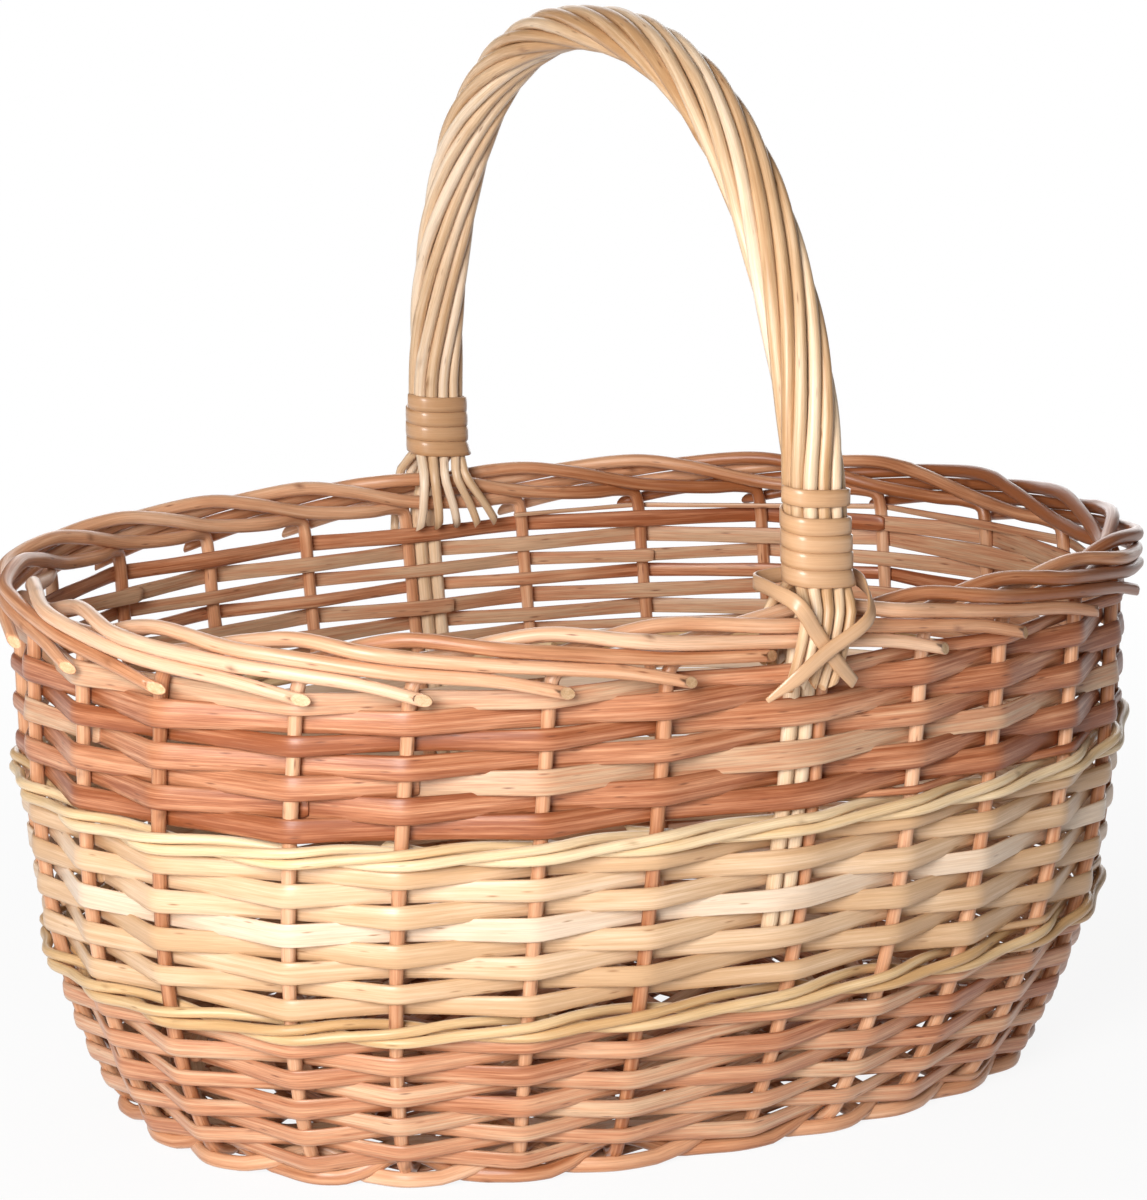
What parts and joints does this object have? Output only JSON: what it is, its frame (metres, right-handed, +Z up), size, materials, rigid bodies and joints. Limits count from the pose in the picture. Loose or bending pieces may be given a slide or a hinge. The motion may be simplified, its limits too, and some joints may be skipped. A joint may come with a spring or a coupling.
{
  "type": "picnic basket",
  "caption": "Oval open picnic basket woven from split willow on upright rods, with a rolled border and a fixed twisted bow handle across the middle.",
  "frame": {"origin": "centre of the basket's footprint box on the surface that it stands on", "axes": "+X along the long side of the oval, +Y to the back across the handle's span, +Z up"},
  "size_m": [0.4676, 0.349, 0.4244],
  "materials": {
    "split_willow_brown": "matt split willow, buff and steamed brown",
    "split_willow_pale": "matt split white willow",
    "rod_willow_pale": "smooth peeled round rod",
    "rod_willow_brown": "smooth satin round rod",
    "handle_willow": "smooth satin round rod, pale",
    "cane": "smooth flat skin"
  },
  "bodies": {
    "root": {"back_binding": "cane", "base_long_stick_1": "rod_willow_brown", "base_long_stick_2": "rod_willow_brown", "base_long_stick_3": "rod_willow_brown", "base_long_stick_4": "rod_willow_brown", "base_rim_weave": "split_willow_brown", "base_short_stick_1": "rod_willow_brown", "base_short_stick_2": "rod_willow_brown", "base_short_stick_3": "rod_willow_brown", "base_short_stick_4": "rod_willow_brown", "base_short_stick_5": "rod_willow_brown", "base_weaver_1": "split_willow_brown", "base_weaver_2": "split_willow_brown", "bow_rod_1": "handle_willow", "bow_rod_2": "handle_willow", "foot_wale": "rod_willow_brown", "front_binding": "cane", "front_lashing": "cane", "handle_strand_1": "handle_willow", "handle_strand_10": "handle_willow", "handle_strand_2": "handle_willow", "handle_strand_3": "handle_willow", "handle_strand_4": "handle_willow", "handle_strand_5": "handle_willow", "handle_strand_6": "handle_willow", "handle_strand_7": "handle_willow", "handle_strand_8": "handle_willow", "handle_strand_9": "handle_willow", "lower_band": "split_willow_brown", "lower_wale": "rod_willow_pale", "pale_band": "split_willow_pale", "stake_1": "rod_willow_brown", "stake_10": "rod_willow_brown", "stake_11": "rod_willow_brown", "stake_12": "rod_willow_brown", "stake_13": "rod_willow_brown", "stake_14": "rod_willow_brown", "stake_15": "rod_willow_brown", "stake_16": "rod_willow_brown", "stake_17": "rod_willow_brown", "stake_18": "rod_willow_brown", "stake_19": "rod_willow_brown", "stake_2": "rod_willow_brown", "stake_20": "rod_willow_brown", "stake_21": "rod_willow_brown", "stake_22": "rod_willow_brown", "stake_23": "rod_willow_brown", "stake_24": "rod_willow_brown", "stake_25": "rod_willow_brown", "stake_3": "rod_willow_brown", "stake_4": "rod_willow_brown", "stake_5": "rod_willow_brown", "stake_6": "rod_willow_brown", "stake_7": "rod_willow_brown", "stake_8": "rod_willow_brown", "stake_9": "rod_willow_brown", "upper_band": "split_willow_brown", "upper_wale": "rod_willow_pale"}
  },
  "joints": []
}
